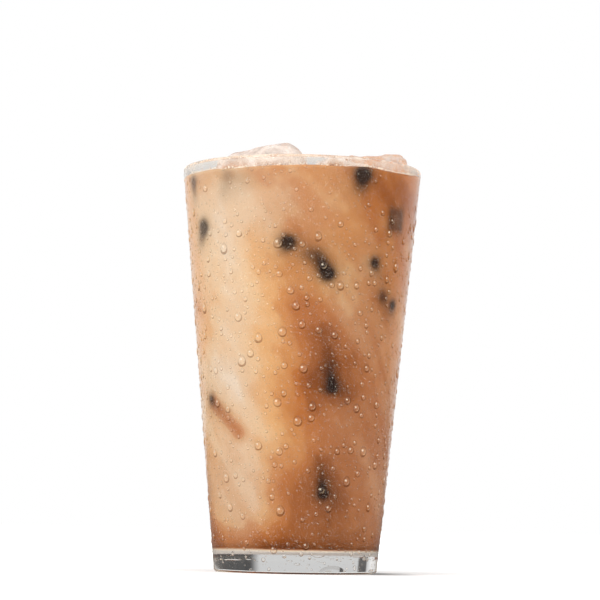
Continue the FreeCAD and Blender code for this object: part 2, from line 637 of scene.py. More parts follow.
@dataclass(frozen=True)
class WetIce:
    """Melting ice: milky inside, clear where it is thin, stained by tea low down, with white cracks.

    level is the drink's. The stain fades out over stain_height above it, along a line that stain_wave bends.
    The mesh's stain value stains patches of a block all over, and edges seen along themselves show the tea
    behind.
    """

    level: float
    ior: float = 1.31
    white: Colour = screen(242, 236, 230)
    stained: Colour = screen(210, 148, 94)
    crack: Colour = screen(252, 248, 244)
    clear: Colour = screen(250, 244, 236)
    passed: Colour = (0.85, 0.82, 0.78, 1.0)
    stain_height: float = 7 * MM
    stain_wave: float = 12 * MM
    edge_share: float = 0.75
    crack_share: float = 0.6
    least_milky: float = 0.4
    cloud_milky: float = 0.42
    ripple_height: float = 0.8 * MM

    def make(self) -> bpy.types.Material:
        """Builds the material."""
        made, shader = Shader.material("wet_ice")
        height = shader.axes(shader.place())[2] - self.level
        cloud = shader.noise(110, 4, 0.6, 1.2)
        from_crack = shader.noise(90, 5, 0.7, 2.5) - 0.5
        crack = 1.0 - (from_crack * from_crack).between(0.0, 0.0006)
        stain = 1.0 - (height + (cloud - 0.5) * self.stain_wave).between(0.0, self.stain_height)
        stain = stain.larger(shader.value("stain") * cloud.between(0.2, 0.62))
        edge = shader.facing(0.42).between(0.45, 0.95)
        tint = shader.mixed(stain.larger(edge * self.edge_share), self.white, self.stained)
        both = {"IOR": self.ior, "Normal": shader.bump(shader.noise(190, 3, 0.5), self.ripple_height, 0.7)}
        milky = {"Base Color": shader.mixed(crack * self.crack_share, tint, self.crack), "Roughness": 0.3}
        clear = {"Base Color": self.clear, "Roughness": 0.08, "Transmission Weight": 1.0}
        share = self.least_milky + self.cloud_milky * cloud.between(0.35, 0.65)
        ice = shader.blended(share, shader.principled(clear | both), shader.principled(milky | both))
        shader.finish(shader.clear_to_lamps(ice, self.passed))
        return made


@dataclass(frozen=True)
class Water:
    """Clear water, as drops on glass.

    The mesh's along and across values give a place in drop radii, along pointing away from the lamp. A drop
    has a painted glint, a painted highlight on the side towards the lamp, a painted pale crescent on the side
    away from it, for the light it gathers there, and a painted darker edge, for the shade there. Its bed,
    where it lies on the glass, lets everything through.
    """

    ior: float = 1.25
    passed: Colour = (0.93, 0.93, 0.93, 1.0)
    # painted highlight colour: the pale spot a drop shows on the side towards the lamp
    painted_glint: Colour = screen(255, 242, 220)
    glint_place: float = -0.4
    glint_share: float = 0.5
    # painted light: the pale crescent where a drop gathers the light, on the side away from the lamp
    painted_crescent: Colour = screen(255, 218, 168)
    crescent_share: float = 0.2
    # painted shade: the colour that darkens a drop's edge
    edge: Colour = (0.2, 0.11, 0.06, 1.0)
    edge_depth: float = 0.85

    def make(self) -> bpy.types.Material:
        """Builds the material."""
        made, shader = Shader.material("water")
        along, across, bed = (shader.value(name) for name in ("along", "across", "bed"))
        radius = (along * along + across * across) ** 0.5
        fore = along - self.glint_place
        # painted highlight: a soft pale spot towards the lamp, mixed in as a lit diffuse surface
        painted_glint = 1.0 - ((fore * fore + across * across) ** 0.5).between(0.1, 0.42)
        inside = radius.between(0.3, 0.66) * (1.0 - radius.between(0.7, 0.86))
        # painted light: the crescent of gathered light inside the drop
        painted_crescent = inside * along.between(0.0, 0.6) * self.crescent_share
        # painted shade: the drop's darker edge, deepest away from the lamp
        edge = radius.between(0.64, 0.9) * (0.45 + 0.55 * along.between(-0.6, 0.7))
        tint = shader.mixed(edge * self.edge_depth, (1, 1, 1, 1), self.edge)
        clear = {"Base Color": tint, "Roughness": 0.0, "Transmission Weight": 1.0}
        lit = {"Base Color": shader.mixed(painted_glint, self.painted_crescent, self.painted_glint), "Roughness": 0.5}
        clear, lit = (shader.principled(inputs | {"IOR": self.ior}) for inputs in (clear, lit))
        cap = shader.blended(painted_crescent + painted_glint * self.glint_share, clear, lit)
        surface = shader.blended(bed, cap, shader.transparent((1, 1, 1, 1)))
        shader.finish(shader.clear_to_lamps(surface, self.passed))
        return made


@dataclass(frozen=True)
class Foam:
    """Pale foam, as left at the edge of a stirred milky drink."""

    colour: Colour = screen(250, 238, 222)
    passed: Colour = (0.95, 0.93, 0.9, 1.0)
    ior: float = 1.33
    roughness: float = 0.35
    clearness: float = 0.3

    def make(self) -> bpy.types.Material:
        """Builds the material."""
        made, shader = Shader.material("foam")
        inputs = {"Base Color": self.colour, "Roughness": self.roughness, "IOR": self.ior}
        surface = shader.principled(inputs | {"Transmission Weight": self.clearness})
        shader.finish(shader.clear_to_lamps(surface, self.passed))
        return made


# ------------------------------------------------------------------------------------------------ the tumbler


@dataclass
class Tumbler:
    """The glass: a thick base with a dished foot, a straight tapered wall and a round rim."""

    height: float
    rim_radius: float
    base_thickness: float
    foot_radius: float = 29.9 * MM
    rim_wall: float = 2.4 * MM
    floor_wall: float = 4.0 * MM
    rim_rounding: float = 1.18 * MM
    heel_rounding: float = 1.2 * MM
    floor_rounding: float = 4.0 * MM
    recess_radius: float = 23.0 * MM
    recess_depth: float = 0.7 * MM
    wall_step: float = 2.5 * MM
    dish_steps: int = 12
    columns: int = 288
    middle_of_wall: float = 0.6
    fog_starts: float = 7.5 * MM
    fog_fades: float = 3.0 * MM
    wet_band: float = 4.0 * MM
    wet_band_fades: float = 1.0 * MM
    wet_band_share: float = 0.45
    wet_rim: float = 1.3 * MM
    wet_rim_fades: float = 0.4 * MM

    def outer_radius(self, z: Array | float) -> Array | float:
        """Radius of the outer face at a height: a straight line from the foot to the rim."""
        return self.foot_radius + (self.rim_radius - self.foot_radius) * z / self.height

    def bowl_radius(self, z: Array | float) -> Array | float:
        """Radius of the inner face at a height: a straight line from the floor of the bowl to the rim."""
        low = self.outer_radius(self.base_thickness) - self.floor_wall
        high = self.rim_radius - self.rim_wall
        return low + (high - low) * (z - self.base_thickness) / (self.height - self.base_thickness)

    def build(self, material: bpy.types.Material) -> bpy.types.Object:
        """Turns the profile, from the floor of the bowl over the rim to the middle of the foot.

        Its fog value starts above the clear base, on the outside alone. Its lip value marks the wetted rim,
        all of it at the very top and in part on a band outside.

        Args:
            material: The glass.

        Returns:
            The piece.
        """
        inner = self.rim_radius - self.rim_wall
        wall = rounded_profile(
            [
                Corner(0, self.base_thickness),
                Corner(self.bowl_radius(self.base_thickness), self.base_thickness, self.floor_rounding),
                Corner(inner, self.height, self.rim_rounding),
                Corner(self.rim_radius, self.height, self.rim_rounding),
                Corner(self.foot_radius, 0, self.heel_rounding),
                Corner(self.recess_radius, 0),
            ],
            step=self.wall_step,
        )
        share = np.linspace(1, 0, self.dish_steps + 1)[1:]
        dish = np.stack([self.recess_radius * share, self.recess_depth * (1 - share**2)], axis=1)
        profile = np.concatenate([wall, dish])
        radii = np.repeat(profile[:, :1], self.columns, axis=1)
        heights = np.repeat(profile[:, 1:], self.columns, axis=1)
        outside = radii > self.bowl_radius(heights) + self.middle_of_wall * self.rim_wall
        fog = outside * smooth_step(heights, self.fog_starts, self.fog_starts + self.fog_fades)
        below = heights - self.height
        band = smooth_step(below, -self.wet_band, self.wet_band_fades - self.wet_band)
        rim = smooth_step(below, -self.wet_rim, self.wet_rim_fades - self.wet_rim)
        lip = np.maximum(self.wet_band_share * outside * band, rim)
        piece = turned(radii, heights, {"fog": fog, "lip": lip}).piece("tumbler", material)
        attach(piece, "root")
        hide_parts("glass")
        return piece


# ---------------------------------------------------------------------------------------------------- the ice


@dataclass
class Block:
    """A rounded, tapered, melting block of ice.

    Its own axes are width, depth and height. Each vertex of a cubic grid is brought to the block's core,
    which is the block less its rounding, and set off from there by the rounding along the line from core to
    grid. Noise then moves it along that line. The block keeps clear of the glass's wall and under the
    ceiling.
    """

    centre: Vector
    turn: Euler
    half: tuple[float, float, float]
    rounding: float
    tumbler: Tumbler
    ceiling: float
    seed: int
    steps: int
    wall_gap: float = 0.3 * MM
    draft: float = 0.6 * MM
    lumps: float = 0.35 * MM
    lump_size: float = 16 * MM
    stain: float = 0.2

    def surface(self, grown: float = 0.0) -> Surface:
        """The block's surface.

        Args:
            grown: How far it is set off outwards.

        Returns:
            The surface, whose stain value is how far tea stains it.
        """
        cube, quads = cube_grid(self.steps)
        half = np.array(self.half)
        grid = cube * half
        core = np.clip(grid, -(half - self.rounding), half - self.rounding)
        way = grid - core
        way /= np.linalg.norm(way, axis=1, keepdims=True)
        noise = Waves(self.seed, self.lump_size)(grid)
        local = core + way * (self.rounding + grown + self.lumps * noise)[:, None]
        local[:, :2] *= 1 - self.draft * (1 + local[:, 2:] / half[2]) / 2 / half[:2]
        vertices = local @ np.array(self.turn.to_matrix()).T + np.array(self.centre)
        radius = np.maximum(np.hypot(vertices[:, 0], vertices[:, 1]), MM)
        most = self.tumbler.bowl_radius(vertices[:, 2]) - self.wall_gap + grown
        vertices[:, :2] *= np.minimum(1, most / radius)[:, None]
        vertices[:, 2] = np.minimum(vertices[:, 2], self.ceiling)
        values = {"stain": np.full(len(vertices), self.stain)}
        return Surface(vertices, quads, np.zeros((0, 3), dtype=np.int64), values)

    def distance(self, points: Array) -> Array:
        """Distance of points of shape (..., 3) outside the plain rounded block, negative inside it.

        It is the length of what lies beyond the core on each axis, less the rounding.
        """
        local = (points - np.array(self.centre)) @ np.array(self.turn.to_matrix())
        beyond = np.abs(local) - (np.array(self.half) - self.rounding)
        outside = np.linalg.norm(np.maximum(beyond, 0), axis=-1)
        return outside + np.minimum(beyond.max(axis=-1), 0) - self.rounding


def cube_grid(steps: int, bow: float = 0.7) -> tuple[Array, Faces]:
    """The surface of the cube from -1 to 1, each face a grid, with the seams shared.

    Even places from -1 to 1 are spread to the tangent of bow times the place over that of bow, so that the
    faces stay alike where the cube is rounded.

    Args:
        steps: Number of faces along an edge.
        bow: Half of the angle that an edge is seen under.

    Returns:
        Vertices, and faces turned outwards.
    """
    line = np.arange(steps + 1)
    first, second = np.meshgrid(line, line, indexing="ij")
    sides, faces = [], []
    for axis in range(3):
        for end in (0, steps):
            side = np.zeros((steps + 1, steps + 1, 3), dtype=np.int64)
            side[..., axis] = end
            side[..., (axis + 1) % 3] = first
            side[..., (axis + 2) % 3] = second
            quads = grid_quads(steps + 1, steps + 1, False) + len(sides) * (steps + 1) ** 2
            faces.append(quads if end == 0 else quads[:, ::-1])
            sides.append(side.reshape(-1, 3))
    shared, number = np.unique(np.concatenate(sides), axis=0, return_inverse=True)
    even = shared / steps * 2 - 1
    return np.tan(even * bow) / math.tan(bow), number.ravel()[np.concatenate(faces)]


@dataclass
class FloatingIce:
    """A block that breaks the surface, placed as its CAD node is.

    azimuth is in degrees from +X, inset is the wall's distance at the level, less half the depth, to the
    middle, and emerges is how far the top would stand above the level if it lay flat. pitch and roll tip it
    about its width and depth, and turn then swings it about Z, all in degrees.
    """

    node: str
    azimuth: float
    inset: float
    width: float
    depth: float
    height: float
    emerges: float
    turn: float
    roll: float
    pitch: float
    rounding: float
    stain: float = 0.2
    steps: int = 30

    def block(self, tumbler: Tumbler, level: float, seed: int) -> Block:
        """The block where it floats.

        Args:
            tumbler: The glass that holds it.
            level: Height of the drink.
            seed: Seed of its lumps.

        Returns:
            The block.
        """
        out = tumbler.bowl_radius(level) - self.inset - self.depth / 2
        angle = math.radians(self.azimuth)
        middle = level + self.emerges - self.height / 2
        centre = Vector((out * math.cos(angle), out * math.sin(angle), middle))
        tip = Euler((math.radians(self.pitch), math.radians(self.roll), math.radians(self.turn)), "XYZ")
        half = (self.width / 2, self.depth / 2, self.height / 2)
        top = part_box(self.node)[1][2]
        return Block(centre, tip, half, self.rounding, tumbler, top, seed, self.steps, stain=self.stain)


FLOATING = [
    FloatingIce("ice_tall", 213, 10.6 * MM, 34 * MM, 29 * MM, 28 * MM, 11.0 * MM, 0, -11, 1.5, 8.0 * MM),
    FloatingIce("ice_side", -5, 1.4 * MM, 24 * MM, 24 * MM, 26 * MM, 9.7 * MM, -92, 2, 3.4, 3.6 * MM, 1.0),
    FloatingIce("ice_front", -64, 1.5 * MM, 22 * MM, 18 * MM, 24 * MM, 3.9 * MM, 29, 6, -4, 4.5 * MM),
    FloatingIce("ice_back_left", 127, 1.8 * MM, 26 * MM, 22 * MM, 25 * MM, 6.2 * MM, 35, 5, 6, 4.8 * MM),
    FloatingIce("ice_back_right", 55, 2.2 * MM, 19 * MM, 17 * MM, 22 * MM, 5.0 * MM, -38, -8, 5, 4.2 * MM),
    FloatingIce("ice_middle", 55, 20.5 * MM, 13 * MM, 13 * MM, 18 * MM, 2.8 * MM, -31, 4, -5, 3.2 * MM),
]


@dataclass(frozen=True)
class Touch:
    """Where a sunk cube comes nearest to the wall.

    around is in degrees from the front towards +X and height in millimetres. swing turns the cube about the
    upright and lean about the level line along the wall: 0 and 0 lay a face to the wall, 45 and 0 an upright
    edge, and 45 and 35 a corner. spin then turns it about the line through the wall. size is the cube's edge
    and rounding that of its edges. film is the milk left between cube and wall, where less than nothing is
    ice pressed flat. These three are in millimetres. clear is how dark the ice shows.
    """

    around: float
    height: float
    swing: float
    lean: float
    spin: float
    size: float
    rounding: float
    film: float
    # clear: how dark the bare ice shows, as painted shade for what is seen through it
    clear: float


TOUCHES = [
    Touch(31, 142, 45, 14, 6, 15, 5.5, -0.8, 0.97),
    Touch(-61.5, 123.4, 45, 14, 25, 14, 4.0, -0.8, 0.88),
    Touch(-7, 117.4, 45, 30, 20, 14, 3.6, -0.85, 0.97),
    Touch(6.5, 112.6, 45, 4, -50, 14, 4.5, 0.25, 0.7),
    Touch(12.3, 109.8, 45, 8, 152, 15, 4.0, -0.75, 0.98),
    Touch(44, 111, 45, 22, -28, 12, 2.4, -0.55, 0.97),
    Touch(56.5, 128.6, 0, 0, -3, 9.2, 1.8, 0.2, 0.96),
    Touch(53.5, 99.4, 40, 14, -35, 12, 3.5, -0.05, 0.9),
    Touch(61.5, 97, 45, 26, 10, 12, 2.5, -0.4, 0.95),
    Touch(17.3, 71, 38, 10.3, 170, 16, 1.8, -0.9, 0.97),
    Touch(26, 66, 45, 8, -55, 14, 4.0, 0.7, 0.5),
    Touch(-61.5, 61, 45, 16, -50, 14, 2.5, -0.1, 0.92),
    Touch(14.6, 33, 38, 10.3, 170, 16, 1.8, -0.85, 0.93),
    Touch(24, 28, 45, 8, -55, 13, 4.0, 0.7, 0.5),
    Touch(-36.5, 139, 9, 7, 14, 16, 5.0, 0.3, 0.62),
    Touch(-68, 140, 45, 14, 0, 12, 2.5, -0.6, 0.75),
]


@dataclass
class SunkIce:
    """The cubes under the surface, whose corners and edges come up to the wall.

    Those listed are in sight from the front, and seeded ones, hidden from there, lie over the sides and the
    back. The dark that each shows in the drink, bare ice with painted shade for what is seen through it,
    falls off over shade_depth of milk, and a share of it over haze_depth.
    """

    tumbler: Tumbler
    touches: Sequence[Touch]
    ceiling: float
    hidden_seed: int = 41
    hidden: int = 13
    steps: int = 12
    wall_gap: float = 0.1 * MM
    lumps: float = 0.15 * MM
    shade_depth: float = 1.02 * MM
    haze_depth: float = 1.8 * MM
    haze_share: float = 0.2

    def all_touches(self) -> list[Touch]:
        """The listed touches, then seeded ones over the sides and the back."""
        rng = np.random.default_rng(self.hidden_seed)
        seeded = [
            Touch(
                around=90 + 180 * (number + rng.uniform(0.1, 0.9)) / self.hidden,
                height=rng.uniform(24, 134),
                swing=rng.uniform(35, 50),
                lean=rng.uniform(8, 36),
                spin=rng.uniform(-60, 60),
                size=rng.uniform(14, 19),
                rounding=rng.uniform(3.2, 6.5),
                film=rng.uniform(-0.3, 0.5),
                clear=rng.uniform(0.7, 1.0),
            )
            for number in range(self.hidden)
        ]
        return list(self.touches) + seeded

    def block(self, touch: Touch, seed: int) -> Block:
        """The cube of one touch.

        It is turned in the frame of the sloping wall. Its middle is set back along the wall's normal by the
        film and by the cube's reach that way: the sum of its core's half sizes along its axes, plus its
        rounding.

        Args:
            touch: The touch.
            seed: Seed of the cube's lumps.

        Returns:
            The cube.
        """
        around, height = math.radians(touch.around), touch.height * MM
        wall, higher = (float(self.tumbler.bowl_radius(z)) for z in (height, height + MM))
        turns = [
            Euler((0, 0, around)),
            Euler((math.atan((higher - wall) / MM), 0, 0)),
            Euler((0, math.radians(touch.spin), 0)),
            Euler((math.radians(touch.lean), 0, 0)),
            Euler((0, 0, math.radians(touch.swing))),
        ]
        frame_of_wall = turns[0].to_matrix() @ turns[1].to_matrix()
        matrix = frame_of_wall @ turns[2].to_matrix() @ turns[3].to_matrix() @ turns[4].to_matrix()
        out = frame_of_wall @ Vector((0, -1, 0))
        half, rounding = touch.size * MM / 2, touch.rounding * MM
        reach = sum(abs(axis.dot(out)) for axis in matrix.transposed()) * (half - rounding) + rounding
        place = Vector((math.sin(around) * wall, -math.cos(around) * wall, height))
        return Block(
            centre=place - out * (touch.film * MM + reach),
            turn=matrix.to_euler(),
            half=(half, half, half),
            rounding=rounding,
            tumbler=self.tumbler,
            ceiling=self.ceiling,
            seed=seed,
            steps=self.steps,
            wall_gap=self.wall_gap,
            draft=0.0,
            lumps=self.lumps,
        )

    def film(self, points: Array) -> Array:
        """How much milk covers the ice at points of the wall, from 0, bare ice, to 1.

        Each cube takes its clearness times a steep fall with its distance, and a wide one for milk thinned
        about it.
        """
        cover = np.ones(points.shape[:-1])
        for number, touch in enumerate(self.all_touches()):
            away = np.maximum(self.block(touch, number).distance(points), 0)
            shade = np.exp(-((away / self.shade_depth) ** 1.3))
            haze = np.exp(-away / self.haze_depth)
            cover *= 1 - touch.clear * ((1 - self.haze_share) * shade + self.haze_share * haze)
        return cover

    def build(self, material: bpy.types.Material) -> bpy.types.Object:
        """Makes the cubes as one piece."""
        blocks = [self.block(touch, number) for number, touch in enumerate(self.all_touches())]
        piece = Surface.joined([block.surface() for block in blocks]).piece("sunk_ice", material)
        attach(piece, "root")
        return piece


# -------------------------------------------------------------------------------------------------- the drink


@dataclass(frozen=True)
class Swirl:
    """A soft streak of milk or tea at the wall, from one place to another.

    Places are degrees from the front and millimetres up. width is in millimetres, milk is what it adds to the
    milkiness, and gold what it adds to the hue.
    """

    start: tuple[float, float]
    end: tuple[float, float]
    width: float
    milk: float
    gold: float = 0.0


SWIRLS = [
    Swirl((-62, 61.5), (-40, 50.5), 3.1, -0.42, -0.3),
    Swirl((-60, 36), (-18, 34), 15, -0.12, -0.4),
    Swirl((-60, 76), (-42, 66), 7, 0.14, -0.2),
    Swirl((-62, 86), (-50, 80), 7, -0.1),
    Swirl((-80, 98), (-62, 96), 5, -0.1),
    Swirl((-82, 56), (-66, 44), 6, 0.12),
    Swirl((-80, 12), (-15, 11), 6, -0.14),
    Swirl((-50, 140), (-20, 136), 14, 0.0, -0.6),
    Swirl((-50, 143), (-22, 143), 6, -0.16),
    Swirl((-80, 142), (-60, 142), 4, -0.15),
    Swirl((-16, 122), (-13, 104), 5, 0.1),
    Swirl((-15, 134), (8, 122), 12, 0.05, -0.35),
    Swirl((0, 122), (6, 112), 5, -0.05),
    Swirl((8, 136), (18, 106), 9, 0.12, 0.1),
    Swirl((24, 138), (28, 104), 8, 0.1, 0.2),
    Swirl((-25, 66), (2, 58), 7, -0.13),
    Swirl((-2, 94), (14, 72), 6, -0.08, -0.2),
    Swirl((14, 86), (20, 76), 4, -0.2),
    Swirl((8, 69), (22, 66), 6, -0.26),
    Swirl((28, 74), (34, 66), 5, -0.12, 0.3),
    Swirl((2, 53), (10, 46), 6, 0.08),
    Swirl((16, 37), (24, 27), 7, -0.2),
    Swirl((10, 13), (75, 13), 5, 0.08),
    Swirl((50, 141), (80, 134), 8, -0.2, 0.6),
    Swirl((45, 128), (62, 104), 12, 0.0, 0.5),
    Swirl((68, 112), (78, 84), 9, 0.06, 0.4),
    Swirl((58, 44), (60, 20), 9, 0.02, -0.4),
    Swirl((78, 60), (78, 24), 9, 0.03, -0.4),
    Swirl((36, 112), (40, 108), 4, 0.12),
    Swirl((50, 86), (56, 78), 6, -0.04),
]

# Milkiness and goldenness at the wall, each from 0 to 1, by degrees from the front.
MILK_ROUND = np.array(
    [
        [-180, 0.62], [-140, 0.58], [-105, 0.7], [-75, 0.76], [-60, 0.87], [-45, 0.88],
        [-32, 0.84], [-20, 0.73], [-8, 0.59], [4, 0.45], [14, 0.42], [26, 0.46],
        [40, 0.46], [60, 0.46], [78, 0.52], [110, 0.52], [150, 0.66], [180, 0.62],
    ]
)  # fmt: skip
GOLD_ROUND = np.array(
    [
        [-180, 0.6], [-120, 0.4], [-78, 0.75], [-62, 0.45], [-45, 0.15],
        [-34, 0.3], [-22, 0.8], [-8, 0.95], [5, 0.75], [18, 0.4],
        [35, 0.25], [55, 0.4], [78, 0.6], [120, 0.5], [180, 0.6],
    ]
)  # fmt: skip


@dataclass
class Chai:
    """The drink: it fills the bowl, reaches just into the wall, climbs it at the edge and clings to the ice.

    edge_waves are the height in millimetres, number round the turn and phase of each wave of its edge, and
    edge_climbs where it is drawn up, over how many degrees and how far. Next to the wall, over edge_share of
    the radius, the rows of its top lie close together. bend is how far waves shift the tea round the wall,
    in degrees. The drink passes over to its middle from inward_starts to inward_ends of the wall's radius.
    """

    tumbler: Tumbler
    floor: float
    level: float
    contact: float
    sunk: SunkIce
    floats: Sequence[Block]
    reach: float = 0.25 * MM
    pocket_inset: float = 0.25 * MM
    wall_curl: float = 0.9 * MM
    ice_rise: float = 0.7 * MM
    ice_curl: float = 0.8 * MM
    swell: float = 0.06 * MM
    edge_waves: tuple[tuple[float, int, float], ...] = ((0.22, 3, 0.6), (0.14, 7, 2.0), (0.1, 13, 0.0))
    edge_climbs: tuple[tuple[float, float, float], ...] = ((88, 22, 2.0), (30, 12, 0.5))
    edge_depth: float = 12 * MM
    edge_share: float = 0.06
    edge_rows: int = 12
    top_rows: int = 74
    wall_step: float = 1.0 * MM
    columns: int = 350
    swirl_seed: int = 7
    seeded_swirls: int = 18
    bend: float = 2.5
    cloud_milk: float = 0.028
    cloud_gold: float = 0.1
    inward_starts: float = 0.97
    inward_ends: float = 0.45
    middle_milk: float = 0.62
    middle_cloud_milk: float = 0.14
    middle_gold: float = 0.55
    middle_cloud_gold: float = 0.3
    # the drink is made darker towards the bottom
    bottom_darkening: float = 0.42
    bottom_darkening_height: float = 9.5 * MM
    bottom_darkening_power: float = 1.4
    # painted light: how far the lowest edge is brightened
    painted_foot_light: float = 1.3
    foot_width: float = 9 * MM
    foot_fades: float = 4 * MM
    underside_fades: float = 0.4 * MM
    streak_milk: float = 0.03
    streak_slope: float = 52.0
    streak_length: float = 62.0
    streak_width: float = 13.0

    def contact_height(self, around: Array) -> Array:
        """Height of the drink's edge by degrees from the front: wavy, and drawn up beside the ice."""
        turn = np.radians(around)
        wave = sum(size * np.sin(number * turn + phase) for size, number, phase in self.edge_waves)
        climb = sum(rise * bell(wrapped(around - place), width) for place, width, rise in self.edge_climbs)
        return self.contact + (wave + climb) * MM

    def top_height(self, x: Array, y: Array) -> Array:
        """Height of the surface: the level, a curl at the wall, a rise to the ice and a faint swell.

        The curl falls off as the exponential of minus the distance from the wall over its width, and so does
        the rise from the ice.
        """
        radius = np.hypot(x, y)
        around = np.degrees(np.arctan2(x, -y))
        edge = self.contact_height(around)
        gap = np.maximum(self.tumbler.bowl_radius(self.level) - radius, 0)
        height = self.level + (edge - self.level) * np.exp(-gap / self.wall_curl)
        points = np.stack([x, y, np.full_like(x, self.level)], axis=-1)
        near = np.min([block.distance(points) for block in self.floats], axis=0)
        height += self.ice_rise * np.exp(-np.maximum(near, 0) / self.ice_curl)
        return height + self.swell * Waves(5, 18 * MM, 2)(points)

    def swirls(self) -> list[Swirl]:
        """The listed swirls, and seeded ones over the sides and the back."""
        rng = np.random.default_rng(self.swirl_seed)
        seeded = []
        for _ in range(self.seeded_swirls):
            around, height = rng.uniform(98, 262), rng.uniform(20, 130)
            end = (around + rng.uniform(-30, 30), height + rng.uniform(-32, 8))
            milk = rng.choice([-1, 1]) * rng.uniform(0.08, 0.22)
            seeded.append(Swirl((around, height), end, rng.uniform(4, 11), milk, rng.uniform(-0.4, 0.4)))
        return SWIRLS + seeded

    def tea(self, points: Array) -> tuple[Array, Array]:
        """How milky and how golden the drink is at points, each from 0 to 1.

        At the wall each is a round of values by angle, plus each swirl's share by distance from its line.
        Inwards both pass over to slow noise. The milkiness is lowered towards the bottom, which makes the
        drink darker there, and painted light, for the light that the glass base gathers, raises it again
        along the lowest edge.

        Args:
            points: Places of shape (..., 3).

        Returns:
            Milkiness, then goldenness.
        """
        around = np.degrees(np.arctan2(points[..., 0], -points[..., 1]))
        height = points[..., 2] / MM
        bent = wrapped(around + self.bend * Waves(11, 60 * MM, 2)(points))
        milk, gold = (np.interp(bent, *table.T) for table in (MILK_ROUND, GOLD_ROUND))
        for swirl in self.swirls():
            near = bell(self.swirl_distance(swirl, around, height), swirl.width)
            milk += swirl.milk * near
            gold += swirl.gold * near
        milk += self.streak_milk * self.streaks(around, height)
        radius, wall = np.hypot(points[..., 0], points[..., 1]), self.tumbler.bowl_radius(points[..., 2])
        inward = 1 - smooth_step(radius, self.inward_ends * wall, self.inward_starts * wall)
        middle_milk = self.middle_milk + self.middle_cloud_milk * Waves(15, 26 * MM, 4)(points)
        middle_gold = self.middle_gold + self.middle_cloud_gold * Waves(16, 30 * MM, 3)(points)
        milk += inward * (middle_milk - milk) + self.cloud_milk * Waves(12, 30 * MM, 4)(points)
        gold += inward * (middle_gold - gold) + self.cloud_gold * Waves(13, 45 * MM, 3)(points)
        above = np.maximum(points[..., 2] - self.floor, 0)
        # darker towards the bottom
        milk -= self.bottom_darkening * np.exp(-((above / self.bottom_darkening_height) ** self.bottom_darkening_power))
        # painted light along the lowest edge, for the light that the glass base gathers
        return milk + self.painted_foot_light * self.painted_foot_line(points), np.clip(gold, 0, 1)

    def painted_foot_line(self, points: Array) -> Array:
        """How far painted light, for the light that the glass base gathers, brightens the drink's lower edge,
        from 0 to 1.
        """
        radius = np.hypot(points[..., 0], points[..., 1])
        start = self.tumbler.bowl_radius(self.floor) - self.foot_width
        return smooth_step(radius, start, start + self.foot_fades) * self.underside(points)

    def underside(self, points: Array) -> Array:
        """Whether a place is on the drink's underside, fading out above it."""
        above = np.maximum(points[..., 2] - self.floor, 0) / self.underside_fades
        return np.exp(-(above**2))

    def streaks(self, around: Array, height: Array) -> Array:
        """Noise drawn out along lines that fall to the right, as milk does when it sinks."""
        along = np.radians(around) * float(self.tumbler.bowl_radius(self.level / 2)) / MM
        slope = math.radians(self.streak_slope)
        down = along * math.cos(slope) - height * math.sin(slope)
        over = along * math.sin(slope) + height * math.cos(slope)
        places = [down / self.streak_length, over / self.streak_width, np.zeros_like(over)]
        return Waves(14, 1.0)(np.stack(places, axis=-1))

    def swirl_distance(self, swirl: Swirl, around: Array, height: Array) -> Array:
        """Distance in millimetres along the wall from a swirl's line to places on it."""
        scale = math.radians(1) * float(self.tumbler.bowl_radius(self.level / 2)) / MM
        along = np.array([(swirl.end[0] - swirl.start[0]) * scale, swirl.end[1] - swirl.start[1]])
        place = np.stack([wrapped(around - swirl.start[0]) * scale, height - swirl.start[1]], axis=-1)
        share = np.clip((place @ along) / float(along @ along), 0, 1)
        return np.linalg.norm(place - share[..., None] * along, axis=-1)

    def wall_rows(self, contact: Array) -> tuple[Array, Array]:
        """Radii and heights of the underside and the wall, by row and column.

        The profile is turned as it is, but its upper part is stretched to the height of the edge.

        Args:
            contact: Height of the edge, by column.

        Returns:
            Radii, then heights.
        """
        low = self.floor - self.reach
        rounding = self.tumbler.floor_rounding + self.reach
        profile = rounded_profile(
            [
                Corner(0, low),
                Corner(self.tumbler.bowl_radius(low) + self.reach, low, rounding),
                Corner(self.tumbler.bowl_radius(self.contact) + self.reach, self.contact),
            ],
            step=self.wall_step,
        )
        radius, height = profile[:, :1], profile[:, 1:]
        stretch = smooth_step(height, self.contact - self.edge_depth, self.contact)
        heights = height + stretch * (contact - self.contact)
        stretched = height > self.contact - self.edge_depth
        return np.where(stretched, self.tumbler.bowl_radius(heights) + self.reach, radius), heights

    def build(self, material: bpy.types.Material) -> bpy.types.Object:
        """Makes the drink, with a pocket in it for each block of ice that breaks the surface.

        Args:
            material: The drink's finish.

        Returns:
            The piece.
        """
        angles = round_angles(self.columns)
        wall_radii, wall_heights = self.wall_rows(self.contact_height(np.degrees(angles)))
        near_wall = np.linspace(0, self.edge_share, self.edge_rows + 1)[:-1]
        inward = np.concatenate([near_wall, np.linspace(self.edge_share, 1, self.top_rows)])
        top_radii = wall_radii[-1] * (1 - inward[1:, None])
        top_heights = self.top_height(top_radii * np.sin(angles), -top_radii * np.cos(angles))
        radii = np.concatenate([wall_radii, top_radii])
        heights = np.concatenate([wall_heights, top_heights])
        points = around_z(radii, angles, heights)
        film, top = np.ones(radii.shape), np.zeros(radii.shape)
        film[: len(wall_radii)] = self.sunk.film(points[: len(wall_radii)])
        top[len(wall_radii) :] = 1.0
        piece = turned(radii, heights, self.values(points, film, top)).piece("chai", material)
        self.cut_pockets(piece)
        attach(piece, "root")
        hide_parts("drink")
        return piece

    def values(self, points: Array, film: Array, top: Array) -> dict[str, Array]:
        """The named values that the drink's finish reads.

        Args:
            points: Places of shape (..., 3).
            film: How much milk covers the ice there.
            top: Whether each place is on the open surface.

        Returns:
            The values by name.
        """
        milk, gold = self.tea(points)
        foot, under = self.painted_foot_line(points), self.underside(points)
        return {"milk": milk, "gold": gold, "film": film, "top": top, "foot": foot, "under": under}

